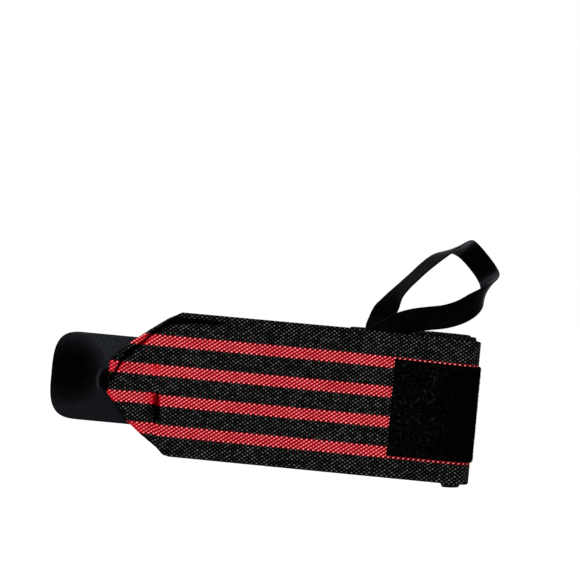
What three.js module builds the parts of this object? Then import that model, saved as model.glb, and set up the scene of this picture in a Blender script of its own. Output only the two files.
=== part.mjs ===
// Wrist wrap: a striped elastic band wound twice round a wrist, with its free end pulled out flat.
// Millimetres. +Z runs along the forearm towards the fingers, -Y is the palm side and +X the thumb side.
// The origin is the middle of the hollow for the wrist, half way up the band.
import * as THREE from "three";

// Hollow for the wrist
const wristWidth = 62;
const wristDepth = 40;
const palmCornerRadius = 9;
const backCornerRadius = 18;

// Elastic band
const bandThickness = 1.6;
const bandWidth = 80;
const selvedge = 0.6;
const selvedgeShare = 0.45;
const turnGap = 0.4;
const sewnGap = 0.3;
const startEndX = -12;
const rampFromStart = 13;
const rampLength = 15;
const rampRadius = 25;
const underSideStandOff = 2.8;
const underCornerRadius = 6.5;
const outerSideStandOff = 4.5;
const outerPalmRadius = 9;
const outerBackRadius = 17;
const underBackRadius = 20;
const freeLength = 165.6;
const plainWidthX = -37;

// Tapered and hemmed tip of the band
const taperLength = 37;
const hemDepth = 6.2;
const hemRise = 0.5;
const lowerHemShare = 0.4;
const hemFadeShare = 0.15;
const seamWidth = 1.8;
const seamDepth = 0.45;

// Loop patch on the outer turn
const patchThickness = 1;
const patchWidth = 53.6;
const patchLength = 100;
const patchDrop = 1;
const patchEdgeX = -10.7;

// Hook tab behind the tip
const tabThickness = 1.2;
const tabWidth = 48;
const tabShown = 32;
const tabSewn = 26.6;
const tabRoundLength = 18;
const tabRoundness = 3.3;
const tabCurl = 3;
const tabStraightShare = 0.25;
const tabBluntShare = 0.97;

// Thumb loop
const ribbonWidth = 13;
const ribbonThickness = 1;
const loopRootX = -21.8;
const loopSpan = 62;
const loopRise = 52;
const loopDepth = 34;
const thumbRise = 43;
const firstLayerShare = 0.35;
const secondLayerShare = 0.65;

// Places that follow from the sizes
const halfWidth = wristWidth / 2;
const halfDepth = wristDepth / 2;
const halfBand = bandThickness / 2;
const innerOffset = halfBand;
const rootStack = 2 * ribbonThickness + 3 * sewnGap;
const underPalmOffset = innerOffset + bandThickness + rootStack;
const outerPalmOffset = underPalmOffset + bandThickness + sewnGap;
const underBackOffset = innerOffset + bandThickness + turnGap;
const rampEndX = startEndX + rampFromStart;

// The band's route seen from above, clockwise from its start end: one row for each corner, with the
// radius of its bend and the band's upper and lower edge there, as shares of half of bandWidth. It is
// narrower where it is stretched more, and its upper edge gives way where the outer turn bends back.
const route = [
  { x: startEndX, y: -(halfDepth + innerOffset), radius: 0, upper: 0.985, lower: 0.985 },
  {
    x: -(halfWidth + innerOffset),
    y: -(halfDepth + innerOffset),
    radius: palmCornerRadius + innerOffset,
    upper: 0.985,
    lower: 0.985,
  },
  {
    x: -(halfWidth + innerOffset),
    y: halfDepth + innerOffset,
    radius: backCornerRadius + innerOffset,
    upper: 1,
    lower: 1,
  },
  {
    x: halfWidth + innerOffset,
    y: halfDepth + innerOffset,
    radius: backCornerRadius + innerOffset,
    upper: 1.035,
    lower: 1.03,
  },
  {
    x: halfWidth + innerOffset,
    y: -(halfDepth + innerOffset),
    radius: palmCornerRadius + innerOffset,
    upper: 1,
    lower: 1.05,
  },
  {
    x: rampEndX + rampLength,
    y: -(halfDepth + innerOffset),
    radius: rampRadius,
    upper: 0.985,
    lower: 0.985,
  },
  {
    x: rampEndX,
    y: -(halfDepth + underPalmOffset),
    radius: rampRadius,
    upper: 0.98,
    lower: 0.98,
  },
  {
    x: -(halfWidth + innerOffset + underSideStandOff),
    y: -(halfDepth + underPalmOffset),
    radius: underCornerRadius,
    upper: 0.985,
    lower: 0.985,
  },
  {
    x: -(halfWidth + innerOffset + underSideStandOff),
    y: halfDepth + underBackOffset,
    radius: underBackRadius,
    upper: 1,
    lower: 1,
  },
  {
    x: halfWidth + outerSideStandOff,
    y: halfDepth + underBackOffset,
    radius: outerBackRadius,
    upper: 1.01,
    lower: 1.01,
  },
  {
    x: halfWidth + outerSideStandOff,
    y: -(halfDepth + outerPalmOffset),
    radius: outerPalmRadius,
    upper: 0.965,
    lower: 1.01,
  },
  { x: plainWidthX, y: -(halfDepth + outerPalmOffset), radius: 0, upper: 1, lower: 1.005 },
  { x: -freeLength, y: -(halfDepth + outerPalmOffset), radius: 0, upper: 0.9925, lower: 0.9925 },
];

// The tip's outline: how far back from the tip, as a share of taperLength, and the band's upper and
// lower edge there, as shares of half its width.
const tipOutline = [
  { back: 0, upper: 0.27, lower: 0.2 },
  { back: 0.1, upper: 0.36, lower: 0.3 },
  { back: 0.32, upper: 0.56, lower: 0.55 },
  { back: 0.55, upper: 0.73, lower: 0.72 },
  { back: 0.8, upper: 0.9, lower: 0.88 },
  { back: 0.9, upper: 0.95, lower: 0.97 },
  { back: 1, upper: 1, lower: 0.99 },
];

// The thumb loop's middle line, from one sewn end to the other: across as a share of loopSpan from
// loopRootX, up as a share of loopRise from the band's upper edge, back as a share of loopDepth from
// the sewn ends, and the turn of its face about the thumb in degrees: 0 towards the palm side, 90
// towards the fingers, 180 towards the back and 270 away from the fingers.
const loopLine = [
  { across: 0.07, up: -0.24, back: 0, turn: 0 },
  { across: 0.03, up: -0.1, back: 0, turn: 0 },
  { across: 0.002, up: 0.01, back: 0.001, turn: 0 },
  { across: 0.02, up: 0.09, back: 0.025, turn: 2 },
  { across: 0.052, up: 0.19, back: 0.073, turn: 13 },
  { across: 0.094, up: 0.272, back: 0.092, turn: 34 },
  { across: 0.15, up: 0.392, back: 0.075, turn: 56 },
  { across: 0.219, up: 0.503, back: 0.035, turn: 64 },
  { across: 0.291, up: 0.602, back: 0.005, turn: 66 },
  { across: 0.364, up: 0.7, back: -0.01, turn: 66 },
  { across: 0.437, up: 0.784, back: 0, turn: 66 },
  { across: 0.504, up: 0.849, back: 0.045, turn: 67 },
  { across: 0.574, up: 0.903, back: 0.135, turn: 71 },
  { across: 0.65, up: 0.945, back: 0.28, turn: 80 },
  { across: 0.71, up: 0.963, back: 0.45, turn: 94 },
  { across: 0.76, up: 0.955, back: 0.64, turn: 118 },
  { across: 0.822, up: 0.91, back: 0.79, turn: 148 },
  { across: 0.888, up: 0.84, back: 0.86, turn: 178 },
  { across: 0.945, up: 0.762, back: 0.82, turn: 207 },
  { across: 0.98, up: 0.688, back: 0.67, turn: 235 },
  { across: 0.985, up: 0.635, back: 0.46, turn: 258 },
  { across: 0.965, up: 0.565, back: 0.24, turn: 284 },
  { across: 0.91, up: 0.458, back: 0.035, turn: 315 },
  { across: 0.823, up: 0.363, back: -0.08, turn: 340 },
  { across: 0.7226, up: 0.277, back: -0.13, turn: 354 },
  { across: 0.5935, up: 0.2115, back: -0.125, turn: 360 },
  { across: 0.437, up: 0.171, back: -0.075, turn: 360 },
  { across: 0.33, up: 0.142, back: -0.025, turn: 360 },
  { across: 0.23, up: 0.1, back: 0, turn: 360 },
  { across: 0.12, up: 0.025, back: 0, turn: 360 },
  { across: 0.01, up: -0.068, back: 0, turn: 360 },
  { across: -0.03, up: -0.11, back: 0, turn: 360 },
];

// A route through corners as straight stretches and arcs. It gives the place, the outward normal and
// the edges' shares at any length along it, and the lengths where its bends need a section.
function routeAlong(corners) {
  const bendStep = THREE.MathUtils.degToRad(11.25);
  const points = [];
  const add = (x, y, { upper, lower }) => {
    const last = points.at(-1);
    const length = last ? last.length + Math.hypot(x - last.x, y - last.y) : 0;
    points.push({ x, y, upper, lower, length });
  };
  corners.forEach((corner, i) => {
    if (!corner.radius) {
      add(corner.x, corner.y, corner);
      return;
    }
    const before = new THREE.Vector2(corners[i - 1].x - corner.x, corners[i - 1].y - corner.y).normalize();
    const after = new THREE.Vector2(corners[i + 1].x - corner.x, corners[i + 1].y - corner.y).normalize();
    const turn = Math.PI - before.angleTo(after);
    const reach = corner.radius * Math.tan(turn / 2);
    const middle = before.clone().add(after).normalize();
    const centre = middle.multiplyScalar(Math.hypot(corner.radius, reach));
    const from = before.clone().multiplyScalar(reach).sub(centre);
    const side = Math.sign(-before.cross(after));
    const steps = Math.max(2, Math.ceil(turn / bendStep));
    for (let k = 0; k <= steps; k++) {
      const arm = from.clone().rotateAround(new THREE.Vector2(), (side * turn * k) / steps);
      add(corner.x + centre.x + arm.x, corner.y + centre.y + arm.y, corner);
    }
  });
  const total = points.at(-1).length;
  const at = (length) => {
    const found = points.findIndex((p) => p.length >= length - 1e-9);
    const next = Math.min(Math.max(found, 1), points.length - 1);
    const [a, b] = [points[next - 1], points[next]];
    const share = THREE.MathUtils.clamp((length - a.length) / (b.length - a.length), 0, 1);
    const nearer = share > 0.5 ? Math.min(next, points.length - 2) : Math.max(next - 1, 1);
    const onPoint = Math.abs(length - points[nearer].length) < 1e-6;
    const [c, d] = onPoint ? [points[nearer - 1], points[nearer + 1]] : [a, b];
    const tangent = new THREE.Vector2(d.x - c.x, d.y - c.y).normalize();
    return {
      x: THREE.MathUtils.lerp(a.x, b.x, share),
      y: THREE.MathUtils.lerp(a.y, b.y, share),
      normal: new THREE.Vector2(-tangent.y, tangent.x),
      upper: THREE.MathUtils.lerp(a.upper, b.upper, share),
      lower: THREE.MathUtils.lerp(a.lower, b.lower, share),
    };
  };
  return { total, at, lengths: points.map((p) => p.length) };
}

// A closed sheet through sections. Each section is a row of pairs of points, one on each face, and
// all rows are equally long.
function closedSheet(sections) {
  const columns = sections[0].length;
  const positions = sections.flatMap((row) => row.flatMap((pair) => [...pair.outer, ...pair.inner]));
  const outer = (i, k) => 2 * (i * columns + k);
  const inner = (i, k) => outer(i, k) + 1;
  const index = [];
  const quad = (a, b, c, d) => index.push(a, b, c, a, c, d);
  const last = sections.length - 1;
  for (let i = 0; i < last; i++) {
    for (let k = 0; k + 1 < columns; k++) {
      quad(outer(i, k), outer(i, k + 1), outer(i + 1, k + 1), outer(i + 1, k));
      quad(inner(i, k), inner(i + 1, k), inner(i + 1, k + 1), inner(i, k + 1));
    }
    quad(outer(i, 0), outer(i + 1, 0), inner(i + 1, 0), inner(i, 0));
    const top = columns - 1;
    quad(outer(i, top), inner(i, top), inner(i + 1, top), outer(i + 1, top));
  }
  for (let k = 0; k + 1 < columns; k++) {
    quad(outer(0, k), inner(0, k), inner(0, k + 1), outer(0, k + 1));
    quad(outer(last, k), outer(last, k + 1), inner(last, k + 1), inner(last, k));
  }
  const geometry = new THREE.BufferGeometry();
  geometry.setAttribute("position", new THREE.Float32BufferAttribute(positions, 3));
  geometry.setIndex(index);
  geometry.computeVertexNormals();
  return geometry;
}

function fabric(name, geometry, color, roughness) {
  const material = new THREE.MeshStandardMaterial({ color, roughness, metalness: 0 });
  const mesh = new THREE.Mesh(geometry, material);
  mesh.name = name;
  return mesh;
}

const bandRoute = routeAlong(route);

// A value of one column of a table, at a share along it.
function fromTable(table, along, column, share) {
  const next = Math.max(1, table.findIndex((row) => row[along] >= share));
  const [a, b] = [table[next - 1], table[next]];
  return THREE.MathUtils.mapLinear(share, a[along], b[along], a[column], b[column]);
}

// How far the tip's sewn hem stands out of the band's face, at a distance in from its slanted edge.
function hemHeight(inFromEdge, fade) {
  if (inFromEdge < hemDepth) return fade * hemRise * Math.sin((Math.PI * inFromEdge) / hemDepth);
  const across = (inFromEdge - hemDepth) / seamWidth;
  return across < 1 ? -fade * seamDepth * Math.sin(Math.PI * across) : 0;
}

function elasticBand() {
  const fadeLength = hemFadeShare * taperLength;
  const tipStart = bandRoute.total - taperLength - fadeLength;
  const tipSections = 20;
  const lengths = bandRoute.lengths.filter((length) => length < tipStart);
  for (let k = 0; k <= tipSections; k++) {
    lengths.push(tipStart + ((taperLength + fadeLength) * k) / tipSections);
  }
  const inFromEdge = [0, selvedge, hemDepth / 2, hemDepth, hemDepth + seamWidth / 2, hemDepth + seamWidth];
  const sections = lengths.map((length) => {
    const place = bandRoute.at(length);
    const back = bandRoute.total - length;
    const share = Math.min(back / taperLength, 1);
    const upper = (bandWidth / 2) * place.upper * fromTable(tipOutline, "back", "upper", share);
    const lower = -(bandWidth / 2) * place.lower * fromTable(tipOutline, "back", "lower", share);
    const fade = THREE.MathUtils.clamp((taperLength + fadeLength - back) / fadeLength, 0, 1);
    const column = (z, from, hemShare) => {
      const thin = from < selvedge ? selvedgeShare : 1;
      const out = halfBand * thin + (from < selvedge ? 0 : hemHeight(from, fade * hemShare));
      const point = (offset) => [place.x + place.normal.x * offset, place.y + place.normal.y * offset, z];
      return { outer: point(out), inner: point(-halfBand * thin) };
    };
    return [
      ...inFromEdge.map((from) => column(lower + from, from, lowerHemShare)),
      column((upper + lower) / 2, bandWidth / 2, 1),
      ...inFromEdge.toReversed().map((from) => column(upper - from, from, 1)),
    ];
  });
  return fabric("elastic_band", closedSheet(sections), 0x1b1a1b, 0.95);
}

function loopPatch() {
  const edge = 0.6;
  const edgeShare = 0.5;
  const middle = halfBand + sewnGap + patchThickness / 2;
  const patchEnd = bandRoute.total - (freeLength + patchEdgeX);
  const patchStart = patchEnd - patchLength;
  const within = bandRoute.lengths.filter(
    (length) => length > patchStart + edge && length < patchEnd - edge,
  );
  const lengths = [patchStart, patchStart + edge, ...within, patchEnd - edge, patchEnd];
  const top = patchWidth / 2 - patchDrop;
  const bottom = -patchWidth / 2 - patchDrop;
  const sections = lengths.map((length) => {
    const place = bandRoute.at(length);
    const atEnd = length === patchStart || length === patchEnd;
    const column = (z, thin) => {
      const half = (patchThickness / 2) * (thin || atEnd ? edgeShare : 1);
      const point = (offset) => [
        place.x + place.normal.x * (middle + offset),
        place.y + place.normal.y * (middle + offset),
        z,
      ];
      return { outer: point(half), inner: point(-patchThickness / 2) };
    };
    return [
      column(bottom, true),
      column(bottom + edge, false),
      column(top - edge, false),
      column(top, true),
    ];
  });
  return fabric("loop_patch", closedSheet(sections), 0x050505, 1);
}

function hookTab() {
  const edge = 0.5;
  const edgeShare = 0.5;
  const innerFace = -(halfDepth + outerPalmOffset - halfBand);
  const sewnX = -(freeLength - tabSewn);
  const endX = -(freeLength + tabShown);
  const plainEndX = endX + tabRoundLength;
  const curlStartX = -freeLength - tabStraightShare * tabShown;
  const xs = [sewnX, sewnX - edge];
  const plainSections = 5;
  for (let k = 1; k <= plainSections; k++) {
    xs.push(THREE.MathUtils.lerp(sewnX, plainEndX, k / plainSections));
  }
  const roundSections = 12;
  for (let k = 1; k <= roundSections; k++) {
    const quarter = Math.sin((tabBluntShare * (Math.PI / 2) * k) / roundSections);
    xs.push(plainEndX - tabRoundLength * quarter);
  }
  const sections = xs.map((x, i) => {
    const round = Math.max(0, (plainEndX - x) / tabRoundLength);
    const half = (tabWidth / 2) * (1 - round ** tabRoundness) ** (1 / tabRoundness);
    const curled = Math.max(0, (curlStartX - x) / (curlStartX - endX));
    const middle = innerFace + sewnGap + tabThickness / 2 + tabCurl * curled ** 2;
    const atEnd = i === 0 || i === xs.length - 1;
    const column = (z, thin) => {
      const deep = (tabThickness / 2) * (thin || atEnd ? edgeShare : 1);
      return { outer: [x, middle - deep, z], inner: [x, middle + deep, z] };
    };
    const inset = Math.min(edge, half / 4);
    return [
      column(-half, true),
      column(-half + inset, false),
      column(half - inset, false),
      column(half, true),
    ];
  });
  return fabric("hook_tab", closedSheet(sections), 0x14161b, 0.6);
}

function thumbLoop() {
  const rootZ = bandWidth / 2;
  const firstLayer = -(halfDepth + innerOffset + halfBand + sewnGap + ribbonThickness / 2);
  const layerStep = ribbonThickness + sewnGap;
  const last = loopLine.length - 1;
  const points = loopLine.map((row, i) => {
    const laid = THREE.MathUtils.smoothstep(i / last, firstLayerShare, secondLayerShare);
    const x = loopRootX + row.across * loopSpan;
    const y = firstLayer - layerStep * laid + row.back * loopDepth;
    return new THREE.Vector3(x, y, rootZ + row.up * loopRise);
  });
  const line = new THREE.CatmullRomCurve3(points, false, "centripetal");
  const turns = new THREE.SplineCurve(loopLine.map((row, i) => new THREE.Vector2(i, row.turn)));
  const rise = THREE.MathUtils.degToRad(thumbRise);
  const toPalm = new THREE.Vector3(0, -1, 0);
  const toFingers = new THREE.Vector3(-Math.sin(rise), 0, Math.cos(rise));
  const sectionsPerRow = 4;
  const sections = [];
  for (let k = 0; k <= last * sectionsPerRow; k++) {
    const share = k / (last * sectionsPerRow);
    const centre = line.getPoint(share);
    const tangent = line.getTangent(share);
    const turn = THREE.MathUtils.degToRad(turns.getPoint(share).y);
    const thick = toPalm.clone().multiplyScalar(Math.cos(turn)).addScaledVector(toFingers, Math.sin(turn));
    thick.addScaledVector(tangent, -thick.dot(tangent)).normalize();
    const wide = new THREE.Vector3().crossVectors(tangent, thick);
    const edge = 0.5;
    const edgeShare = 0.5;
    const column = (aside, thin) => {
      const half = (ribbonThickness / 2) * (thin ? edgeShare : 1);
      const middle = centre.clone().addScaledVector(wide, aside);
      return {
        outer: middle.clone().addScaledVector(thick, half).toArray(),
        inner: middle.clone().addScaledVector(thick, -half).toArray(),
      };
    };
    const half = ribbonWidth / 2;
    sections.push([
      column(-half, true),
      column(-half + edge, false),
      column(half - edge, false),
      column(half, true),
    ]);
  }
  return fabric("thumb_loop", closedSheet(sections), 0x0c0c0d, 0.75);
}

const wristWrap = new THREE.Group();
wristWrap.add(elasticBand(), loopPatch(), hookTab(), thumbLoop());

export default wristWrap;
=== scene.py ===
# Wrist wrap: a striped elastic band wound in two turns, with its free end pulled out flat.
# Metres. +Z runs up the axis of the turns, -Y is the front, where the free end lies, and +X is the
# right side, where the outer turn bends into it.
from math import atan2, cos, hypot, pi, radians, sin, tan

import bpy
import numpy as np
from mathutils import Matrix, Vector


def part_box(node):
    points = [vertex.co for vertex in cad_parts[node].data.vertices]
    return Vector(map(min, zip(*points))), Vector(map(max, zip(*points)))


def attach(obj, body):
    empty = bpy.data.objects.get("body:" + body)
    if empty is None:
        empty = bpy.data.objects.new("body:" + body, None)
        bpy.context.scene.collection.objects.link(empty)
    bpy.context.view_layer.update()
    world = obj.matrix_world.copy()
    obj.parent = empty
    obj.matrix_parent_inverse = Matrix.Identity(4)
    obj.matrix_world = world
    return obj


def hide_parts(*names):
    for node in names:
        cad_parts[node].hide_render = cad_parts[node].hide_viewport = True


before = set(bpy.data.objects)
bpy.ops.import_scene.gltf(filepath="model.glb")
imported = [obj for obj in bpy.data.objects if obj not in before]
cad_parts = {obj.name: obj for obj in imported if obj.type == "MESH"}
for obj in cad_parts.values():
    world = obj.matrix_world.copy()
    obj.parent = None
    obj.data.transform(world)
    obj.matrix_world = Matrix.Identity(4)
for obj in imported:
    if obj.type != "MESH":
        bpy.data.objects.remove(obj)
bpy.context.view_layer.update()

# Elastic band
# A wide elastic woven from covered rubber and glossy yarn, black with four red stripes along it.
# It is woven flat, wound in two turns, and its free end is pulled out and cut to a hemmed taper.
band_low, band_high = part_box("elastic_band")
band_width = 0.08
band_thickness = 0.0016
layer_gap = 0.0003
selvedge = 0.0006
selvedge_share = 0.45
hollow_width = 0.062
hollow_depth = 0.04
start_end_x = -0.012
ramp_x = 0.001
ramp_length = 0.015
front_face = -hollow_depth / 2 - band_thickness / 2
back_face = -front_face
left_side = -hollow_width / 2 - band_thickness / 2
outer_front = band_low.y + band_thickness / 2
outer_back = band_high.y - band_thickness / 2
outer_right = band_high.x - band_thickness / 2
under_front = outer_front + band_thickness + layer_gap
turn_step = 0.0028
under_left = left_side - turn_step

# Its route seen from above, clockwise from the start end: place, radius of the bend, and the upper
# and lower edge as shares of half the width
route_corners = [
    (start_end_x, front_face, 0, 0.985, 0.985),
    (left_side, front_face, 0.0098, 0.985, 0.985),
    (left_side, back_face, 0.0188, 1, 1),
    (-left_side, back_face, 0.0188, 1.035, 1.03),
    (-left_side, front_face, 0.0098, 1, 1.08),
    (ramp_x + ramp_length, front_face, 0.025, 0.985, 0.985),
    (ramp_x, under_front, 0.025, 0.98, 0.98),
    (under_left, under_front, 0.0065, 0.985, 0.985),
    (under_left, outer_back, 0.02, 1, 1),
    (outer_right, outer_back, 0.017, 1.01, 1.01),
    (outer_right, 0.001, 0, 0.965, 1.01),
    (outer_right, outer_front, 0.009, 0.965, 1.01),
    (-0.037, outer_front, 0, 1, 1.005),
    (band_low.x, outer_front, 0, 0.9925, 0.9925),
]


def middle_line(corners):
    """Rows of length, x, y, heading and edge shares along straight stretches and round bends."""
    bend_step = 0.0002
    x, y, _, upper, lower = corners[0]
    heading = atan2(corners[1][1] - y, corners[1][0] - x)
    rows = [(0, x, y, heading, upper, lower)]
    for (x, y, radius, upper, lower), after in zip(corners[1:], corners[2:]):
        turn = (atan2(after[1] - y, after[0] - x) - heading + pi) % (2 * pi) - pi
        reach = radius * tan(abs(turn) / 2)
        bend_x, bend_y = x - reach * cos(heading), y - reach * sin(heading)
        length = rows[-1][0] + hypot(bend_x - rows[-1][1], bend_y - rows[-1][2])
        side = radius if turn > 0 else -radius
        for share in np.linspace(0, 1, 2 + int(abs(turn) * radius / bend_step)):
            angle = heading + share * turn
            along = length + share * abs(turn) * radius
            bent_x = bend_x + side * (sin(angle) - sin(heading))
            bent_y = bend_y + side * (cos(heading) - cos(angle))
            rows.append((along, bent_x, bent_y, angle, upper, lower))
        heading += turn
    x, y, _, upper, lower = corners[-1]
    length = rows[-1][0] + hypot(x - rows[-1][1], y - rows[-1][2])
    rows.append((length, x, y, heading, upper, lower))
    return np.array(rows).T


route = middle_line(route_corners)
band_length = route[0, -1]
route[0] -= band_length


def wound(along, across, out):
    """Points of the flat band laid on its route: along is 0 at the tip, out is off the middle."""
    x, y, heading, upper, lower = (np.interp(along, route[0], column) for column in route[1:])
    up = across * np.where(across > 0, upper, lower)
    return np.column_stack((x - out * np.sin(heading), y + out * np.cos(heading), up))


# The weave: floats of yarn in rows along the band, each row a half step on from the next
float_step = 0.00137
rows_across = 78
row_pitch = band_width / rows_across
weave_relief = 0.00011
weave_flattened = 0.8


def weave_height(along, across):
    """How high the yarn stands, from -1 to 1: highest on the floats, joined in slanted lines."""
    step, row = along / float_step, across / row_pitch - 0.5
    return 0.65 * np.cos(pi * (step + row)) + 0.35 * np.cos(pi * (step - row))


# The tip's outline: share of the taper's length, upper and lower edge as shares of half the width
taper_length = 0.037
taper_slant = cos(radians(42))
tip_edge = 0.0001
tip_outline = np.array([
    (0, 0.27, 0.2),
    (0.1, 0.36, 0.3),
    (0.32, 0.56, 0.55),
    (0.55, 0.73, 0.72),
    (0.8, 0.9, 0.88),
    (0.9, 0.95, 0.97),
    (1, 1, 0.99),
])

# The sewn groove of the upper hem: distance back from the tip, height, and depth share
hem_groove = np.array([
    (0, -0.002, 0),
    (0.002, 0.0015, 0.7),
    (0.003, 0.003, 1),
    (0.0045, 0.0065, 1),
    (0.0083, 0.0139, 1),
    (0.0169, 0.0216, 0.7),
    (0.0213, 0.0265, 0.75),
    (0.0276, 0.0315, 1),
    (0.0316, 0.0346, 1),
    (0.0358, 0.0354, 1),
    (0.046, 0.0357, 1),
    (0.054, 0.0357, 0.8),
    (0.064, 0.0356, 0),
])
folded_tip = hem_groove[4, 0]
hem_corner = hem_groove[9, 0]
hem_rise = 0.0007
groove_depth = 0.0008
groove_width = 0.0014
turned_edge = 0.0022
turned_press = 0.36

# The seam that sews the tab on, across the band: height and depth share
tab_seam = np.array([
    (-0.03, 0),
    (-0.026, 0.1),
    (-0.0215, 0.3),
    (-0.02, 0.9),
    (-0.018, 1),
    (-0.0125, 1),
    (-0.007, 1),
    (-0.0055, 0.8),
    (-0.0045, 0),
    (0.003, 0.1),
    (0.008, 0.55),
    (0.011, 0.4),
    (0.014, 0),
])
tab_seam_back = 0.0274
tab_seam_middle = -0.006
tab_seam_lean = 0.09
tab_seam_width = 0.0018
tab_seam_spread = 0.004
tab_seam_press = 0.62

# The seam pulls the cloth before it down a little, up to a height where the pull fades out
pull_depth = 0.00075
pull_start = 0.001
pull_fade = 0.004
pull_top = 0.004
pull_top_fade = 0.006
pull_at_tip = 0.4


def flat_length(name, start, end, columns):
    """A flat length of band, from start to end along it, with its thickness."""
    bpy.ops.object.select_all(action="DESELECT")
    bpy.ops.mesh.primitive_grid_add(x_subdivisions=columns, y_subdivisions=2 * rows_across, size=1)
    strip = bpy.context.object
    strip.name = name
    bpy.ops.object.mode_set(mode="EDIT")
    bpy.ops.transform.resize(value=(end - start, band_width, 1))
    bpy.ops.transform.translate(value=((start + end) / 2, 0, 0))
    bpy.ops.object.mode_set(mode="OBJECT")
    thickness = strip.modifiers.new("band_thickness", "SOLIDIFY")
    thickness.thickness = band_thickness
    thickness.offset = 0
    bpy.ops.object.modifier_apply(modifier=thickness.name)
    strip.data.uv_layers[0].name = "weave"
    return strip


def points_of(piece):
    """The piece's points as an array."""
    points = np.empty(3 * len(piece.data.vertices))
    piece.data.vertices.foreach_get("co", points)
    return points.reshape(-1, 3)


def set_pattern(piece, pattern):
    """Writes the place on the pattern of each point to the piece's UV map."""
    corners = np.empty(len(piece.data.loops), dtype=int)
    piece.data.loops.foreach_get("vertex_index", corners)
    piece.data.uv_layers[0].data.foreach_set("uv", pattern[corners].ravel())


def mend_and_smooth(piece, angle):
    """Merges what was pressed together and shades the piece smooth up to an angle."""
    bpy.ops.object.select_all(action="DESELECT")
    piece.select_set(True)
    bpy.context.view_layer.objects.active = piece
    bpy.ops.object.mode_set(mode="EDIT")
    bpy.ops.mesh.select_all(action="SELECT")
    bpy.ops.mesh.remove_doubles(threshold=0.00002)
    bpy.ops.mesh.dissolve_degenerate(threshold=0.00001)
    bpy.ops.object.mode_set(mode="OBJECT")
    bpy.ops.object.shade_smooth_by_angle(angle=radians(angle))


def ease(share):
    """0 to 1 with soft ends."""
    share = np.clip(share, 0, 1)
    return share * share * (3 - 2 * share)


def wind_on(strip):
    """Cuts the tip, raises the weave, presses the seams in, and winds the strip on its route."""
    flat = points_of(strip)
    along, across = flat[:, 0], flat[:, 1]
    outside = flat[:, 2] < 0
    back = np.maximum(-along, 0)
    taper = np.minimum(back / taper_length, 1)
    half = band_width / 2
    upper = half * np.interp(taper, tip_outline[:, 0], tip_outline[:, 1])
    lower = -half * np.interp(taper, tip_outline[:, 0], tip_outline[:, 2])
    across = np.clip(across, lower, upper)

    slant = np.where(back < taper_length, taper_slant, 1)
    from_upper = np.minimum((upper - across) * slant, back + tip_edge)
    from_edge = np.minimum(from_upper, (across - lower) * slant)
    thin = selvedge_share + (1 - selvedge_share) * ease(from_edge / selvedge)

    groove = np.interp(back, hem_groove[:, 0], hem_groove[:, 1])
    strength = np.interp(back, hem_groove[:, 0], hem_groove[:, 2])
    beyond = (across - groove) * np.where(back < hem_corner, taper_slant, 1)
    # The upper hem's groove is pressed in, and the material darkens it with painted shade
    pressed_and_shaded = strength * np.exp(-((beyond / groove_width) ** 2))
    roll = np.clip(from_upper / (from_upper + np.maximum(beyond, 0) + 1e-9), 0, 1)
    raised = strength * hem_rise * np.sin(pi * roll) * (beyond > 0)
    # The turned-under edges count as pressed too, so they also take painted shade
    turned = back < np.where(across < 0, taper_length, folded_tip)
    turned = turned * np.exp(-((from_edge / turned_edge) ** 2))

    seam_place = tab_seam_back - tab_seam_lean * (across - tab_seam_middle)
    behind, before = np.maximum(back - seam_place, 0), np.maximum(seam_place - back, 0)
    sewn = tab_seam_press * np.interp(across, tab_seam[:, 0], tab_seam[:, 1])
    sewn *= np.exp(-((behind / tab_seam_width) ** 4)) * np.exp(-((before / tab_seam_spread) ** 2))
    sewn *= back < 2 * taper_length
    pull = ease((seam_place + pull_start - back) / pull_fade)
    pull *= ease((pull_top - across) / pull_top_fade)
    pull *= pull_at_tip + (1 - pull_at_tip) * back / tab_seam_back
    pulled = across - pull_depth * pull

    # How pressed the cloth is, in the hem groove, the tab seam and the turned edges: it flattens
    # the weave, and the material paints shade into it
    pressed_and_shaded = np.clip(pressed_and_shaded + sewn + turned_press * turned, 0, 1)
    weave = weave_relief * weave_height(along, pulled) * (1 - weave_flattened * pressed_and_shaded)
    relief = raised - groove_depth * (pressed_and_shaded - 0.4 * turned) * np.where(sewn > 0.01, 0.8, 1)
    out = (weave - flat[:, 2]) * thin + np.where(outside, relief, 0)
    set_pattern(strip, np.column_stack((along + np.where(outside, 0, float_step), pulled)))
    # Stored for the material, which darkens these places with painted shade
    mark = strip.data.attributes.new("pressed_and_shaded", "FLOAT", "POINT")
    mark.data.foreach_set("value", np.where(outside, pressed_and_shaded, 0).astype(np.float32))
    strip.data.vertices.foreach_set("co", wound(along, across, out).ravel())
    mend_and_smooth(strip, 75)


def node_maker(material):
    """Clears a material's nodes and gives a function that adds one and links or sets its inputs."""
    tree = material.node_tree
    tree.nodes.clear()

    def add(kind, inputs=None, **settings):
        node = tree.nodes.new(kind)
        for name, value in settings.items():
            setattr(node, name, value)
        for name, value in (inputs or {}).items():
            if isinstance(value, bpy.types.NodeSocket):
                tree.links.new(value, node.inputs[name])
            else:
                node.inputs[name].default_value = value
        return node

    return add


def new_finish(name):
    """A material with only its output, and the function that adds its nodes."""
    material = bpy.data.materials.new(name)
    material.use_nodes = True
    return material, node_maker(material)


def math_node(add, operation, *values, use_clamp=False):
    """One calculation on one to three numbers or sockets."""
    node = add("ShaderNodeMath", dict(enumerate(values)), operation=operation, use_clamp=use_clamp)
    return node.outputs[0]


def ramp_node(add, factor, stops):
    """A colour that changes with a number, through stops of place and colour."""
    ramp = add("ShaderNodeValToRGB", {"Fac": factor})
    elements = ramp.color_ramp.elements
    while len(elements) < len(stops):
        elements.new(0.5)
    for element, (place, color) in zip(elements, stops):
        element.position = place
        element.color = (*color, 1)
    return ramp.outputs["Color"]


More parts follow.
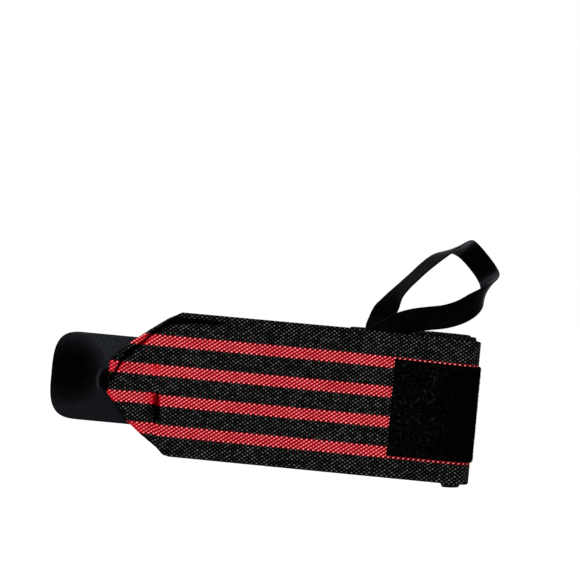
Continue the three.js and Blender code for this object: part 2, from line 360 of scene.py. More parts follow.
def mix_node(add, factor, first, second, blend="MIX"):
    """Two colours mixed by a number."""
    mix = add("ShaderNodeMix", data_type="RGBA", blend_type=blend)
    for index, value in ((0, factor), (6, first), (7, second)):
        if isinstance(value, bpy.types.NodeSocket):
            mix.id_data.links.new(value, mix.inputs[index])
        else:
            mix.inputs[index].default_value = value
    return mix.outputs[2]


# The stripes in rows of floats, counted from the band's middle: a stripe's first row, how many rows
# it has, the rows from one stripe to the next, and where the last one ends
stripe_start = 4
stripe_rows = 6
stripe_pitch = 16
stripes_end = 30
stripe_middle = (stripe_rows - 1) / 2


def striped_webbing():
    """Black and red yarn in slanted floats, with painted highlights on the float crests and painted
    shade between the red floats and in pressed grooves and seams. A float's colour goes by the row
    that it lies in.
    """
    material, add = new_finish("striped_webbing")
    place = add("ShaderNodeSeparateXYZ", {0: add("ShaderNodeUVMap", uv_map="weave").outputs[0]})
    step = math_node(add, "DIVIDE", place.outputs[0], float_step)
    row = math_node(add, "SUBTRACT", math_node(add, "DIVIDE", place.outputs[1], row_pitch), 0.5)
    rising = math_node(add, "MULTIPLY", math_node(add, "ADD", step, row), 0.5)
    falling = math_node(add, "MULTIPLY", math_node(add, "SUBTRACT", step, row), 0.5)
    ridge = math_node(add, "COSINE", math_node(add, "MULTIPLY", rising, 2 * pi))
    ridge = math_node(add, "MULTIPLY_ADD", ridge, 0.5, 0.5)
    cross = math_node(add, "COSINE", math_node(add, "MULTIPLY", falling, 2 * pi))
    cross = math_node(add, "MULTIPLY_ADD", cross, 0.5, 0.5)

    cell_up = math_node(add, "ROUND", rising)
    cell_down = math_node(add, "ROUND", falling)
    float_row = math_node(add, "SUBTRACT", cell_up, cell_down)
    stripe_row = math_node(add, "SUBTRACT", float_row, stripe_start)
    stripe_row = math_node(add, "FLOORED_MODULO", stripe_row, stripe_pitch)
    in_stripe = math_node(add, "LESS_THAN", stripe_row, stripe_rows - 0.5)
    inner_rows = math_node(add, "ABSOLUTE", float_row)
    inner_rows = math_node(add, "LESS_THAN", inner_rows, stripes_end)
    red = math_node(add, "MULTIPLY", in_stripe, inner_rows)
    outermost = math_node(add, "SUBTRACT", stripe_row, stripe_middle)
    outermost = math_node(add, "ABSOLUTE", outermost)
    outermost = math_node(add, "GREATER_THAN", outermost, stripe_middle - 0.5)

    cell = add("ShaderNodeCombineXYZ", {0: cell_up, 1: cell_down}).outputs[0]
    chance = add("ShaderNodeTexWhiteNoise", {"Vector": cell}, noise_dimensions="3D")
    chance = chance.outputs["Value"]
    cloth_place = add("ShaderNodeTexCoord").outputs["Object"]
    patches = add("ShaderNodeTexNoise", {"Vector": cloth_place, "Scale": 70.0, "Detail": 3.0})
    patches = math_node(add, "SUBTRACT", patches.outputs["Fac"], 0.5)

    # Painted highlights on the crests of the black floats, varied at random per float and in
    # patches
    black_float_highlight = math_node(add, "MULTIPLY", ridge, math_node(add, "MULTIPLY_ADD", cross, 0.8, 0.2))
    black_float_highlight = math_node(add, "MULTIPLY", black_float_highlight, math_node(add, "MULTIPLY_ADD", chance, 0.5, 0.57))
    black_float_highlight = math_node(add, "MULTIPLY_ADD", patches, 0.15, black_float_highlight)
    black_yarn = ramp_node(add, black_float_highlight, [
        (0.0, (0.0001, 0.0001, 0.0001)),
        (0.18, (0.0008, 0.0008, 0.0008)),
        (0.42, (0.009, 0.009, 0.009)),
        (0.7, (0.049, 0.049, 0.0475)),
        (1.0, (0.158, 0.159, 0.155)),
    ])
    # The red floats: painted highlights on their crests, painted shade in dark red between them and
    # a painted glint on the outermost rows, varied at random
    red_highlight_and_shade = math_node(add, "MULTIPLY", ridge, math_node(add, "MULTIPLY_ADD", cross, 0.42, 0.58))
    red_highlight_and_shade = math_node(add, "MULTIPLY_ADD", chance, 0.1, red_highlight_and_shade)
    red_highlight_and_shade = math_node(add, "MULTIPLY_ADD", patches, 0.2, red_highlight_and_shade)
    edge_glint = math_node(add, "SUBTRACT", math_node(add, "MULTIPLY", ridge, cross), 0.45)
    edge_glint = math_node(add, "MULTIPLY", edge_glint, outermost)
    red_highlight_and_shade = math_node(add, "MULTIPLY_ADD", edge_glint, 0.5, red_highlight_and_shade)
    red_yarn = ramp_node(add, red_highlight_and_shade, [
        (0.0, (0.07, 0.0, 0.001)),
        (0.25, (0.19, 0.0003, 0.0025)),
        (0.55, (0.38, 0.005, 0.014)),
        (0.85, (0.63, 0.09, 0.11)),
        (1.0, (0.92, 0.34, 0.35)),
    ])
    yarn = mix_node(add, red, black_yarn, red_yarn)
    # Painted shade: grooves, the tab seam and turned edges go dark red or black by how pressed they
    # are
    pressed_and_shaded = add("ShaderNodeAttribute", attribute_name="pressed_and_shaded").outputs["Fac"]
    pressed_shade_red = ramp_node(add, pressed_and_shaded, [
        (0.2, (0.45, 0.003, 0.01)),
        (0.38, (0.3, 0.0, 0.004)),
        (0.55, (0.08, 0.0, 0.001)),
        (0.72, (0.003, 0.0, 0.0)),
    ])
    pressed_shade_color = mix_node(add, red, (0.0002, 0.0002, 0.0003, 1), pressed_shade_red)
    pressed_shade_share = math_node(add, "MULTIPLY", pressed_and_shaded, 1.9, use_clamp=True)
    color = mix_node(add, pressed_shade_share, yarn, pressed_shade_color)

    fibres = add("ShaderNodeTexNoise", {"Vector": cloth_place, "Scale": 2600.0, "Detail": 2.0})
    bump = add("ShaderNodeBump", {
        "Height": fibres.outputs["Fac"],
        "Strength": 0.35,
        "Distance": 0.00008,
    })
    gloss = add("ShaderNodeMapRange", {"Value": ridge, "To Min": 0.85, "To Max": 0.5})
    surface = add("ShaderNodeBsdfPrincipled", {
        "Base Color": color,
        "Roughness": gloss.outputs[0],
        "Specular IOR Level": 0.005,
        "Normal": bump.outputs[0],
    })
    add("ShaderNodeOutputMaterial", {"Surface": surface.outputs[0]})
    return material


webbing = striped_webbing()
half_step = float_step / 2
free_columns = 310
turn_columns = 252
free_start = -free_columns * half_step
turn_start = free_start - turn_columns * half_step
inner_columns = int((turn_start + band_length) / half_step)
band_lengths = [
    ("band_free_end", free_start, 0, free_columns),
    ("band_outer_turn", turn_start, free_start, turn_columns),
    ("band_inner_turn", -band_length, turn_start, inner_columns),
]
for name, start, end, columns in band_lengths:
    strip = flat_length(name, start, end, columns)
    wind_on(strip)
    strip.data.materials.append(webbing)
    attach(strip, "root")
    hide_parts("elastic_band")


def joined_copies(name, original, origins, axes):
    """One object of many copies of a small mesh, each at its own origin on its own three axes."""
    shape = points_of(original)
    copies, count = len(origins), len(shape)
    places = origins[:, None, :] + np.einsum("vk,nkw->nvw", shape, axes)
    corners = np.empty(len(original.data.loops), dtype=int)
    original.data.loops.foreach_get("vertex_index", corners)
    starts = np.empty(len(original.data.polygons), dtype=int)
    original.data.polygons.foreach_get("loop_start", starts)
    mesh = bpy.data.meshes.new(name)
    mesh.vertices.add(copies * count)
    mesh.vertices.foreach_set("co", places.ravel())
    mesh.loops.add(copies * len(corners))
    shift = np.arange(copies)[:, None]
    mesh.loops.foreach_set("vertex_index", (corners + shift * count).ravel())
    mesh.polygons.add(copies * len(starts))
    mesh.polygons.foreach_set("loop_start", (starts + shift * len(corners)).ravel())
    mesh.update(calc_edges=True)
    mesh.validate()
    joined = bpy.data.objects.new(name, mesh)
    bpy.context.scene.collection.objects.link(joined)
    bpy.data.objects.remove(original)
    mesh.polygons.foreach_set("use_smooth", np.ones(len(mesh.polygons), dtype=bool))
    return joined


def on_band(along, across, out):
    """Points on the band with their axes: along it, across it and out of its face."""
    middle = wound(along, across, out)
    heading = np.interp(along, route[0], route[3])
    nil = np.zeros_like(heading)
    forward = np.column_stack((np.cos(heading), np.sin(heading), nil))
    outward = np.column_stack((-np.sin(heading), np.cos(heading), nil))
    upward = np.cross(outward, forward)
    return middle, forward, upward, outward


def black_thread():
    """Twisted black sewing thread."""
    material, add = new_finish("black_thread")
    place = add("ShaderNodeTexCoord").outputs["Object"]
    plies = add("ShaderNodeTexNoise", {"Vector": place, "Scale": 3500.0, "Detail": 2.0})
    color = ramp_node(add, plies.outputs["Fac"], [
        (0.3, (0.0004, 0.0004, 0.0005)),
        (0.6, (0.0016, 0.0016, 0.0018)),
        (0.8, (0.006, 0.006, 0.0065)),
    ])
    bump = add("ShaderNodeBump", {
        "Height": plies.outputs["Fac"],
        "Strength": 0.4,
        "Distance": 0.00005,
    })
    surface = add("ShaderNodeBsdfPrincipled", {
        "Base Color": color,
        "Roughness": 0.6,
        "Specular IOR Level": 0.05,
        "Normal": bump.outputs[0],
    })
    add("ShaderNodeOutputMaterial", {"Surface": surface.outputs[0]})
    return material


thread = black_thread()
stitch_length = 0.0019
stitch_step = 0.0025
thread_thickness = 0.0004


def stitches(name, middle, heading, outward):
    """Short stitches, one at each place, that lie along a heading and dip into the cloth."""
    bpy.ops.object.select_all(action="DESELECT")
    bpy.ops.mesh.primitive_uv_sphere_add(segments=6, ring_count=4, radius=0.5)
    aside = np.cross(outward, heading)
    size = np.array((stitch_length, thread_thickness, thread_thickness))[None, :, None]
    axes = np.stack((heading, aside, outward), axis=1) * size
    row = joined_copies(name, bpy.context.object, middle, axes)
    row.data.materials.append(thread)
    return row


# The hem is sewn through its groove
hem_line = hem_groove[2:10, :2]
hem_length = np.concatenate(([0], np.cumsum(np.hypot(*np.diff(hem_line, axis=0).T))))
hem_places = np.arange(stitch_step / 2, hem_length[-1], stitch_step)
hem_back = np.interp(hem_places, hem_length, hem_line[:, 0])
hem_across = np.interp(hem_places, hem_length, hem_line[:, 1])
groove_floor = band_thickness / 2 - groove_depth + thread_thickness / 2
hem_out = np.full(len(hem_places), groove_floor)
middle, forward, upward, outward = on_band(-hem_back, hem_across, hem_out)
hem_heading = forward * -np.gradient(hem_back)[:, None] + upward * np.gradient(hem_across)[:, None]
hem_heading /= np.linalg.norm(hem_heading, axis=1)[:, None]
hem_stitches = stitches("hem_stitches", middle, hem_heading, outward)
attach(hem_stitches, "root")
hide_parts("elastic_band")

# Loop patch
# A rectangle of black brushed loop pile, sewn flat on the outside of the outer turn, from the
# front round the right side. Its loops are knitted into a thin backing and stand up from it.
patch_thickness = 0.001
patch_width = 0.0532
patch_length = 0.1
patch_drop = 0.0008
patch_front_x = -0.0107
patch_end = band_low.x - patch_front_x
patch_middle = band_thickness / 2 + layer_gap + patch_thickness / 2
patch_rounding = 0.0015
pile_unevenness = 0.00012
pile_sunk = 0.0001
pile_step = 0.00113
pile_ring = 0.00036
pile_yarn = 0.00008
pile_chance = np.random.default_rng(8)


def patch_backing():
    """The backing: a thin slab with a soft uneven face and rounded edges, wound on the band."""
    bpy.ops.object.select_all(action="DESELECT")
    bpy.ops.mesh.primitive_grid_add(x_subdivisions=100, y_subdivisions=54, size=1)
    patch = bpy.context.object
    patch.name = "loop_patch_pile"
    bpy.ops.object.mode_set(mode="EDIT")
    bpy.ops.transform.resize(value=(patch_length, patch_width, 1))
    bpy.ops.transform.translate(value=(patch_end - patch_length / 2, -patch_drop, 0))
    bpy.ops.object.mode_set(mode="OBJECT")
    thickness = patch.modifiers.new("backing", "SOLIDIFY")
    thickness.thickness = patch_thickness
    thickness.offset = 0
    bpy.ops.object.modifier_apply(modifier=thickness.name)
    flat = points_of(patch)
    along, across = flat[:, 0], flat[:, 1]
    from_end = np.minimum(patch_end - along, along - patch_end + patch_length)
    from_side = patch_width / 2 - np.abs(across + patch_drop)
    from_edge = np.minimum(from_end, from_side)
    outside = flat[:, 2] < 0
    rounding = np.where(outside, 0.5 + 0.5 * ease(from_edge / patch_rounding), 1)
    uneven = pile_unevenness * pile_chance.standard_normal(len(flat)) * ease(from_edge / 0.001)
    out = patch_middle - flat[:, 2] * rounding + np.where(outside, uneven - pile_sunk, 0)
    patch.data.vertices.foreach_set("co", wound(along, across, out).ravel())
    return patch


def pile_loops():
    """The loops: small rings half sunk in the backing, each leaning its own way."""
    columns, rows = int(patch_length / pile_step) - 1, int(patch_width / pile_step) - 1
    along, across = np.meshgrid(np.arange(columns), np.arange(rows))
    along = along.ravel() + 0.75 + 0.5 * pile_chance.random(columns * rows)
    across = across.ravel() + 0.75 + 0.5 * pile_chance.random(columns * rows)
    along = patch_end - patch_length + along * patch_length / (columns + 1)
    across = -patch_drop - patch_width / 2 + across * patch_width / (rows + 1)
    face = patch_middle + patch_thickness / 2 - 1.5 * pile_yarn
    middle, forward, upward, outward = on_band(along, across, np.full(len(along), face))
    turn = pile_chance.uniform(0, pi, len(along))[:, None]
    lean = pile_chance.normal(0, 0.35, len(along))[:, None]
    ring_x = forward * np.cos(turn) + upward * np.sin(turn)
    aside = -forward * np.sin(turn) + upward * np.cos(turn)
    ring_y = outward * np.cos(lean) + aside * np.sin(lean)
    ring_z = np.cross(ring_x, ring_y)
    bpy.ops.object.select_all(action="DESELECT")
    bpy.ops.mesh.primitive_torus_add(
        major_radius=pile_ring, minor_radius=pile_yarn, major_segments=6, minor_segments=3
    )
    size = pile_chance.uniform(0.8, 1.2, len(along))[:, None, None]
    axes = np.stack((ring_x, ring_y, ring_z), axis=1) * size
    return joined_copies("loop_patch_loops", bpy.context.object, middle, axes)


def brushed_pile():
    """Deep black pile with a few lighter loops, darkened with painted shade towards the right,
    where the patch turns round the side.
    """
    material, add = new_finish("brushed_pile")
    place = add("ShaderNodeTexCoord").outputs["Object"]
    tufts = add("ShaderNodeTexNoise", {"Vector": place, "Scale": 650.0, "Detail": 2.0})
    axis = add("ShaderNodeSeparateXYZ", {0: place})
    # Painted shade: darker towards the right, where the patch turns round the side away from the
    # light
    right_side_shade = add("ShaderNodeMapRange", {
        "Value": axis.outputs[0],
        "From Min": 0.012,
        "From Max": 0.028,
        "To Min": 0.5,
        "To Max": 0.4,
    })
    light = math_node(add, "MULTIPLY", tufts.outputs["Fac"], right_side_shade.outputs[0])
    color = ramp_node(add, light, [
        (0.0, (0.0001, 0.0001, 0.0001)),
        (0.25, (0.0006, 0.0006, 0.0006)),
        (0.31, (0.002, 0.002, 0.0019)),
        (0.37, (0.01, 0.01, 0.0097)),
    ])
    bump = add("ShaderNodeBump", {
        "Height": tufts.outputs["Fac"],
        "Strength": 0.5,
        "Distance": 0.0002,
    })
    surface = add("ShaderNodeBsdfPrincipled", {
        "Base Color": color,
        "Roughness": 0.95,
        "Specular IOR Level": 0.002,
        "Normal": bump.outputs[0],
    })
    add("ShaderNodeOutputMaterial", {"Surface": surface.outputs[0]})
    return material


def patch_stitches():
    """The patch is sewn on all round, a little in from its edges."""
    inset = 0.0018
    wide, high = patch_length - 2 * inset, patch_width - 2 * inset
    corners = np.array([(0, 0), (wide, 0), (wide, high), (0, high), (0, 0)])
    reach = np.concatenate(([0], np.cumsum(np.hypot(*np.diff(corners, axis=0).T))))
    places = np.arange(stitch_step / 2, reach[-1], stitch_step)
    along = patch_end - patch_length + inset + np.interp(places, reach, corners[:, 0])
    across = inset - patch_drop - patch_width / 2 + np.interp(places, reach, corners[:, 1])
    face = np.full(len(places), patch_middle + patch_thickness / 2 + 0.00005)
    middle, forward, upward, outward = on_band(along, across, face)
    side = np.searchsorted(reach, places) % 2 == 1
    return stitches("patch_stitches", middle, np.where(side[:, None], forward, upward), outward)


pile = brushed_pile()
patch = patch_backing()
mend_and_smooth(patch, 60)
loops = pile_loops()
patch.data.materials.append(pile)
loops.data.materials.append(pile)
for piece in (patch, loops, patch_stitches()):
    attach(piece, "root")
    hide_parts("loop_patch")

# Hook tab
# A rounded tab of stiff black hook tape, sewn behind the tip of the band. Its smooth ribbed side
# shows; the moulded hooks are on its back, which closes on the loop patch.
tab_low, tab_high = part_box("hook_tab")
tab_thickness = 0.0012
tab_width = tab_high.z - tab_low.z
tab_round = 0.018
tab_roundness = 3.3
tab_curl = 0.003
tab_length = tab_high.x - tab_low.x
tab_shown = band_low.x - tab_low.x
curl_start = band_low.x - tab_shown / 4
hook_step = 0.0015
hook_size = 0.0004
hook_wire = 0.0001
rib_step = 0.0016
tape_edge = 0.0012
tape_edge_share = 0.45
tape_back_shade = 0.15

# The stitched crease is an arc round a point on the tab. Painted shade darkens the satin in a
# hollow
# and where the tip shades it: place, radius and fade
crease_start = band_low.x - 0.0035
crease_middle = (band_low.x + 0.0035, -0.001)
crease_radius = 0.0095
crease_width = 0.0007
crease_depth = 0.00025
shaded_spots = [
    ((-0.187, 0.003), 0.008, 0.013),
    ((-0.1635, -0.001), 0.005, 0.0035),
]


def tab_middle(x):
    """The depth of the tab's middle: flat behind the band, curled away past the tip."""
    curled = np.maximum(0, (curl_start - x) / (curl_start - tab_low.x))
    return tab_low.y + tab_thickness / 2 + tab_curl * curled**2


def tab_half(x):
    """Half the tab's width: full, and rounded towards its end."""
    rounded = np.clip((tab_low.x + tab_round - x) / tab_round, 0, 1)
    return tab_width / 2 * (1 - rounded**tab_roundness) ** (1 / tab_roundness)


def tape():
    """The tape: a flat sheet with a stitched crease and pressed edges."""
    bpy.ops.object.select_all(action="DESELECT")
    bpy.ops.mesh.primitive_grid_add(x_subdivisions=150, y_subdivisions=110, size=1)
    tab = bpy.context.object
    tab.name = "hook_tab_tape"
    thickness = tab.modifiers.new("tape", "SOLIDIFY")
    thickness.thickness = tab_thickness
    thickness.offset = 0
    bpy.ops.object.modifier_apply(modifier=thickness.name)
    flat = points_of(tab)
    share = 0.5 - flat[:, 0]
    close_share = 0.3
    in_round = np.clip((share - 1 + close_share) / close_share, 0, 1)
    closer = 1 - close_share * (1 - in_round) ** 1.6
    x = tab_high.x - tab_length * np.where(share > 1 - close_share, closer, share)
    x = np.maximum(x, tab_low.x + 0.00002)
    half = tab_half(x)
    z = 2 * flat[:, 1] * half
    from_edge = np.minimum(half - np.abs(z), np.minimum(tab_high.x - x, x - tab_low.x + 0.0002))
    front = flat[:, 2] < 0
    thin = tape_edge_share + (1 - tape_edge_share) * ease(from_edge / tape_edge)
    # The crease: a raised arc, which the material also lightens with a painted highlight
    crease = np.hypot(x - crease_middle[0], z - crease_middle[1]) - crease_radius
    crease = np.exp(-((crease / crease_width) ** 2)) * ease((crease_start - x) / 0.002)
    crease = np.where(front, crease, 0)
    y = tab_middle(x) + flat[:, 2] * thin - crease_depth * crease
    # Painted highlight on the front of the satin, stronger towards the top, cut out by painted
    # shade in a hollow and under the tip; the back gets one fixed share
    satin_highlight = 0.72 + 0.22 * ease((z + 0.01) / 0.015)
    for (spot_x, spot_z), radius, fade in shaded_spots:
        satin_highlight *= np.clip((np.hypot(x - spot_x, z - spot_z) - radius) / fade, 0, 1)
    satin_shade = np.where(front, 1 - satin_highlight, tape_back_shade)
    for name, value in (("crease", crease), ("satin_shade", satin_shade)):
        mark = tab.data.attributes.new(name, "FLOAT", "POINT")
        mark.data.foreach_set("value", value.astype(np.float32))
    tab.data.vertices.foreach_set("co", np.column_stack((x, y, z)).ravel())
    return tab


def hooks():
    """The hooks: small moulded crooks in rows on the tape's back."""
    columns, rows = int(tab_length / hook_step) - 1, int(tab_width / hook_step) - 1
    x, z = np.meshgrid(np.arange(columns), np.arange(rows))
    x = tab_high.x - (x.ravel() + 1) * tab_length / (columns + 1)
    z = tab_low.z + (z.ravel() + 1) * tab_width / (rows + 1)
    inside = (np.abs(z) < tab_half(x) - 0.001) & (x < band_low.x - 0.001)
    x, z = x[inside], z[inside]
    origins = np.column_stack((x, tab_middle(x) + tab_thickness / 2 + hook_wire, z))
    bpy.ops.object.select_all(action="DESELECT")
    bpy.ops.mesh.primitive_torus_add(
        major_radius=hook_size, minor_radius=hook_wire, major_segments=6, minor_segments=4
    )
    axes = np.broadcast_to(np.array([(1, 0, 0), (0, 1, 0), (0, 0, 1)], float), (len(x), 3, 3))
    return joined_copies("hook_tab_hooks", bpy.context.object, origins, axes)


def satin_tape():
    """Satin blue-black tape with fine slanted ribs, brightened by a painted highlight except where
    painted shade darkens it.
    """
    material, add = new_finish("satin_tape")
    place = add("ShaderNodeTexCoord").outputs["Object"]
    axis = add("ShaderNodeSeparateXYZ", {0: place})
    wander = add("ShaderNodeTexNoise", {"Vector": place, "Scale": 160.0, "Detail": 2.0})
    red_highlight_and_shade = math_node(add, "ADD", axis.outputs[0], axis.outputs[2])
    red_highlight_and_shade = math_node(add, "MULTIPLY_ADD", wander.outputs["Fac"], 0.002, red_highlight_and_shade)
    ribs = math_node(add, "SINE", math_node(add, "MULTIPLY", red_highlight_and_shade, 2 * pi / rib_step))
    threads = add("ShaderNodeTexNoise", {"Vector": place, "Scale": 1300.0, "Detail": 3.0})
    relief = math_node(add, "MULTIPLY_ADD", ribs, 0.09, threads.outputs["Fac"])

    # The stored painted shade, and the painted highlight left where there is none
    satin_shade = add("ShaderNodeAttribute", attribute_name="satin_shade").outputs["Fac"]
    satin_highlight = math_node(add, "SUBTRACT", 1.0, satin_shade)
    light = math_node(add, "MULTIPLY", satin_highlight, math_node(add, "MULTIPLY_ADD", relief, 0.9, 0.12))
    crease = add("ShaderNodeAttribute", attribute_name="crease").outputs["Fac"]
    # Painted highlight along the raised crease
    light = math_node(add, "MULTIPLY_ADD", crease, 0.36, light)
    color = ramp_node(add, light, [
        (0.0, (0.0001, 0.0001, 0.0001)),
        (0.25, (0.0016, 0.0018, 0.0022)),
        (0.5, (0.0068, 0.0077, 0.0093)),
        (0.8, (0.03, 0.033, 0.038)),
    ])
    bump = add("ShaderNodeBump", {"Height": relief, "Strength": 0.4, "Distance": 0.0001})
    surface = add("ShaderNodeBsdfPrincipled", {
        "Base Color": color,
        "Roughness": 0.6,
        "Specular IOR Level": 0.006,
        "Normal": bump.outputs[0],
    })
    add("ShaderNodeOutputMaterial", {"Surface": surface.outputs[0]})
    return material


def hook_nylon():
    """Black nylon, a little scuffed, that catches the light."""
    material, add = new_finish("hook_nylon")
    place = add("ShaderNodeTexCoord").outputs["Object"]
    scuffs = add("ShaderNodeTexNoise", {"Vector": place, "Scale": 900.0, "Detail": 2.0})
    color = ramp_node(add, scuffs.outputs["Fac"], [
        (0.3, (0.008, 0.008, 0.01)),
        (0.55, (0.028, 0.029, 0.033)),
        (0.75, (0.075, 0.077, 0.083)),
    ])
    gloss = add("ShaderNodeMapRange", {
        "Value": scuffs.outputs["Fac"],
        "To Min": 0.25,
        "To Max": 0.55,
    })
    bump = add("ShaderNodeBump", {
        "Height": scuffs.outputs["Fac"],
        "Strength": 0.3,
        "Distance": 0.00005,
    })
    surface = add("ShaderNodeBsdfPrincipled", {
        "Base Color": color,
        "Roughness": gloss.outputs[0],
        "Specular IOR Level": 0.3,
        "Normal": bump.outputs[0],
    })
    add("ShaderNodeOutputMaterial", {"Surface": surface.outputs[0]})
    return material


def tab_stitches():
    """Rows of stitches through the tab's sewn end, which show on its back."""
    z = np.arange(tab_low.z + 0.003, tab_high.z - 0.002, stitch_step)
    rows = (tab_high.x - 0.002, tab_high.x - 0.005, band_low.x + 0.004)
    x = np.repeat(rows, len(z))
    z = np.tile(z, len(rows))
    y = tab_middle(x) + tab_thickness / 2 + 0.00005
    up = np.broadcast_to(np.array((0, 0, 1.0)), (len(x), 3))
    behind = np.broadcast_to(np.array((0, 1.0, 0)), (len(x), 3))
    return stitches("tab_stitches", np.column_stack((x, y, z)), up, behind)


satin = satin_tape()
tab = tape()
mend_and_smooth(tab, 50)
tab_hooks = hooks()
tab.data.materials.append(satin)
tab_hooks.data.materials.append(hook_nylon())
for piece in (tab, tab_hooks, tab_stitches()):
    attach(piece, "root")
    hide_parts("hook_tab")

# Thumb loop
# A flat black elastic ribbon. Both ends are sewn on the start end of the band, under the outer
# turn; between them it rises slantwise in front, turns over to the back and comes down again.
ribbon_width = 0.013
ribbon_thickness = 0.001
ribbon_cords = 13
cord_height = 0.00004
cover_rib_step = 0.0006
rim_round = 0.0007
rim_share = 0.35
loop_root_x = -0.0218
loop_span = 0.062
loop_rise = 0.052
loop_depth = 0.034
loop_lean = radians(43)

# Its middle line: across, up and back as shares of span, rise and depth, and the turn of its face
# about the loop's own axis in degrees
loop_line = np.array([
    (0.07, -0.24, 0, 0),
    (0.03, -0.1, 0, 0),
    (0.002, 0.01, 0.001, 0),
    (0.02, 0.09, 0.025, 2),
    (0.052, 0.19, 0.073, 13),
    (0.094, 0.272, 0.092, 34),
    (0.15, 0.392, 0.075, 56),
    (0.219, 0.503, 0.035, 64),
    (0.291, 0.602, 0.005, 66),
    (0.364, 0.7, -0.01, 66),
    (0.437, 0.784, 0, 66),
    (0.504, 0.849, 0.045, 67),
    (0.574, 0.903, 0.135, 71),
    (0.65, 0.945, 0.28, 80),
    (0.71, 0.963, 0.45, 94),
    (0.76, 0.955, 0.64, 118),
    (0.822, 0.91, 0.79, 148),
    (0.888, 0.84, 0.86, 178),
    (0.945, 0.762, 0.82, 207),
    (0.98, 0.688, 0.67, 235),
    (0.985, 0.635, 0.46, 258),
    (0.965, 0.565, 0.24, 284),
    (0.91, 0.458, 0.035, 315),
    (0.823, 0.363, -0.08, 340),
    (0.7226, 0.277, -0.13, 354),
    (0.5935, 0.2115, -0.125, 360),
    (0.437, 0.171, -0.075, 360),
    (0.33, 0.142, -0.025, 360),
    (0.23, 0.1, 0, 360),
    (0.12, 0.025, 0, 360),
    (0.01, -0.068, 0, 360),
    (-0.03, -0.11, 0, 360),
])


def spline_at(points, steps, at):
    """Points on a smooth curve through points that are steps apart, at a list of places."""
    knots = np.concatenate(([0], np.cumsum(steps)))
    before = 2 * points[0] - points[1]
    after = 2 * points[-1] - points[-2]
    held = np.vstack((before, points, after))
    held_knots = np.concatenate(([-steps[0]], knots, [knots[-1] + steps[-1]]))
    slopes = []
    for i in range(1, len(held) - 1):
        into, out = held_knots[i] - held_knots[i - 1], held_knots[i + 1] - held_knots[i]
        rise_in, rise_out = (held[i] - held[i - 1]) / into, (held[i + 1] - held[i]) / out
        slopes.append(rise_in + rise_out - (held[i + 1] - held[i - 1]) / (into + out))
    slopes = np.array(slopes)
    i = np.clip(np.searchsorted(knots, at, side="right") - 1, 0, len(points) - 2)
    step = (knots[i + 1] - knots[i])[:, None]
    t = ((at - knots[i])[:, None]) / step
    start, end = points[i], points[i + 1]
    first, last = slopes[i] * step, slopes[i + 1] * step
    return (
        start
        + t * first
        + t**2 * (3 * (end - start) - 2 * first - last)
        + t**3 * (2 * (start - end) + first + last)
    )


def ribbon():
    """The ribbon: lengthwise cords under a tight cover, swept along its middle line."""
    count = len(loop_line)
    first_layer = front_face - band_thickness / 2 - layer_gap - ribbon_thickness / 2
    layer_step = ribbon_thickness + layer_gap
    laid = ease((np.arange(count) / (count - 1) - 0.35) / 0.3)
    points = np.column_stack((
        loop_root_x + loop_line[:, 0] * loop_span,
        first_layer - layer_step * laid + loop_line[:, 2] * loop_depth,
        band_width / 2 + loop_line[:, 1] * loop_rise,
    ))
    steps = np.linalg.norm(np.diff(points, axis=0), axis=1) ** 0.5
    knots = np.concatenate(([0], np.cumsum(steps)))
    per_row = 9
    at_row = np.linspace(0, count - 1, (count - 1) * per_row + 1)
    at = np.interp(at_row, np.arange(count), knots)
    middle = spline_at(points, steps, at)
    tangent = np.gradient(middle, at, axis=0)
    tangent /= np.linalg.norm(tangent, axis=1)[:, None]
    turn = np.radians(spline_at(loop_line[:, 3:], np.ones(count - 1), at_row))
    to_front = np.array((0, -1, 0))
    to_top = np.array((-sin(loop_lean), 0, cos(loop_lean)))
    thick = np.cos(turn) * to_front + np.sin(turn) * to_top
    thick -= tangent * np.sum(thick * tangent, axis=1)[:, None]
    thick /= np.linalg.norm(thick, axis=1)[:, None]
    wide = np.cross(tangent, thick)
    along = np.concatenate(([0], np.cumsum(np.linalg.norm(np.diff(middle, axis=0), axis=1))))

    across_steps = 52
    bpy.ops.object.select_all(action="DESELECT")
    bpy.ops.mesh.primitive_grid_add(
        x_subdivisions=len(middle) - 1, y_subdivisions=across_steps, size=1
    )
    loop = bpy.context.object
    loop.name = "thumb_loop_ribbon"
    thickness = loop.modifiers.new("ribbon", "SOLIDIFY")
    thickness.thickness = ribbon_thickness
    thickness.offset = 0
    bpy.ops.object.modifier_apply(modifier=thickness.name)
    flat = points_of(loop)
    section = np.rint((flat[:, 0] + 0.5) * (len(middle) - 1)).astype(int)
    aside = flat[:, 1] * ribbon_width
    edge = ribbon_width / 2 - np.abs(aside)
    rounding = rim_share + (1 - rim_share) * np.sqrt(np.clip(edge / rim_round, 0, 1))
    cord = cord_height * np.cos(2 * pi * ribbon_cords * aside / ribbon_width)
    cord *= ease(edge / 0.0006)
    off = flat[:, 2] * rounding + np.sign(flat[:, 2]) * cord
    place = middle[section] + wide[section] * aside[:, None] + thick[section] * off[:, None]
    loop.data.vertices.foreach_set("co", place.ravel())
    loop.data.uv_layers[0].name = "ribbon"
    set_pattern(loop, np.column_stack((along[section], aside)))
    return loop, along[-1]


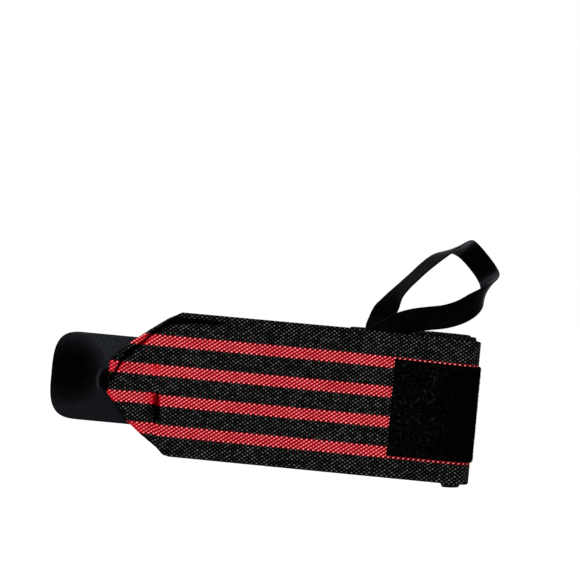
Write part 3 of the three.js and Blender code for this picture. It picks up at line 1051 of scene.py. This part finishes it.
def ribbon_elastic():
    """Smooth black elastic with lengthwise cords, the fine cross ribs of its cover, and a painted
    highlight along its edges.
    """
    material, add = new_finish("ribbon_elastic")
    place = add("ShaderNodeUVMap", uv_map="ribbon").outputs[0]
    axis = add("ShaderNodeSeparateXYZ", {0: place})
    ribs = math_node(add, "MULTIPLY", axis.outputs[0], 2 * pi / cover_rib_step)
    ribs = math_node(add, "SINE", ribs)
    cords = math_node(add, "MULTIPLY", axis.outputs[1], 2 * pi * ribbon_cords / ribbon_width)
    cords = math_node(add, "COSINE", cords)
    relief = math_node(add, "MULTIPLY_ADD", cords, 0.6, math_node(add, "MULTIPLY", ribs, 0.4))
    fibres = add("ShaderNodeTexNoise", {"Vector": place, "Scale": 2500.0, "Detail": 2.0})
    relief = math_node(add, "MULTIPLY_ADD", fibres.outputs["Fac"], 0.8, relief)
    cloudy = add("ShaderNodeTexNoise", {"Vector": place, "Scale": 90.0, "Detail": 2.0})
    light = math_node(add, "MULTIPLY_ADD", relief, 0.2, cloudy.outputs["Fac"])
    # Painted highlight along the ribbon's edges
    from_middle = math_node(add, "ABSOLUTE", axis.outputs[1])
    edge_highlight = add("ShaderNodeMapRange", {
        "Value": from_middle,
        "From Min": ribbon_width / 2 - 0.0006,
        "From Max": ribbon_width / 2 - 0.0001,
    })
    light = math_node(add, "MULTIPLY_ADD", edge_highlight.outputs[0], 0.35, light)
    color = ramp_node(add, light, [
        (0.2, (0.0001, 0.0001, 0.0001)),
        (0.6, (0.0002, 0.0002, 0.0003)),
        (1.0, (0.003, 0.0028, 0.0038)),
    ])
    bump = add("ShaderNodeBump", {"Height": relief, "Strength": 0.3, "Distance": 0.00006})
    surface = add("ShaderNodeBsdfPrincipled", {
        "Base Color": color,
        "Roughness": 0.5,
        "Specular IOR Level": 0.003,
        "Sheen Weight": 0.36,
        "Sheen Roughness": 0.3,
        "Sheen Tint": (0.85, 0.85, 1, 1),
        "Normal": bump.outputs[0],
    })
    add("ShaderNodeOutputMaterial", {"Surface": surface.outputs[0]})
    return material


loop, loop_length = ribbon()
mend_and_smooth(loop, 50)
loop.data.materials.append(ribbon_elastic())
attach(loop, "root")
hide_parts("thumb_loop")

# Floor, light and camera
# A large pale floor under an even white room, with one broad soft light above and to the left of
# the camera, which looks straight at the front and is rolled a little.
bpy.ops.object.select_all(action="DESELECT")
bpy.ops.mesh.primitive_circle_add(vertices=96, radius=30, fill_type="NGON", location=(0, 0, -0.2))
floor = bpy.context.object
floor.name = "floor"
bpy.ops.object.transform_apply(location=True)
paper, add = new_finish("pale_paper")
paper_place = add("ShaderNodeTexCoord").outputs["Object"]
grain = add("ShaderNodeTexNoise", {"Vector": paper_place, "Scale": 4.0})
tone = ramp_node(add, grain.outputs["Fac"], [(0.3, (0.9, 0.9, 0.9)), (0.7, (0.93, 0.93, 0.93))])
paper_surface = add("ShaderNodeBsdfPrincipled", {"Base Color": tone, "Roughness": 0.9})
add("ShaderNodeOutputMaterial", {"Surface": paper_surface.outputs[0]})
floor.data.materials.append(paper)

world = bpy.data.worlds.new("white_room")
world.use_nodes = True
room = node_maker(world)
seen = room("ShaderNodeLightPath").outputs["Is Camera Ray"]
strength = math_node(room, "MULTIPLY_ADD", seen, 0.5, 0.5)
background = room("ShaderNodeBackground", {"Color": (1, 1, 1, 1), "Strength": strength})
room("ShaderNodeOutputWorld", {"Surface": background.outputs[0]})
bpy.context.scene.world = world

key = bpy.data.objects.new("key_light", bpy.data.lights.new("key_light", "SUN"))
key.data.energy = 3.0
key.data.angle = radians(50)
key.rotation_euler = Vector((-0.5, -1, 1.1)).to_track_quat("Z", "Y").to_euler()
bpy.context.scene.collection.objects.link(key)

lean = radians(5.35)
view_width = 0.3165
view_distance = 0.9
camera = bpy.data.objects.new("camera", bpy.data.cameras.new("camera"))
camera.data.sensor_width = 36
camera.data.lens = camera.data.sensor_width * view_distance / view_width
camera.location = (-0.0713, band_low.y - view_distance, 0.0574)
camera.rotation_euler = (radians(90), -lean, 0)
bpy.context.scene.collection.objects.link(camera)
bpy.context.scene.camera = camera
bpy.context.scene.view_settings.view_transform = "Standard"
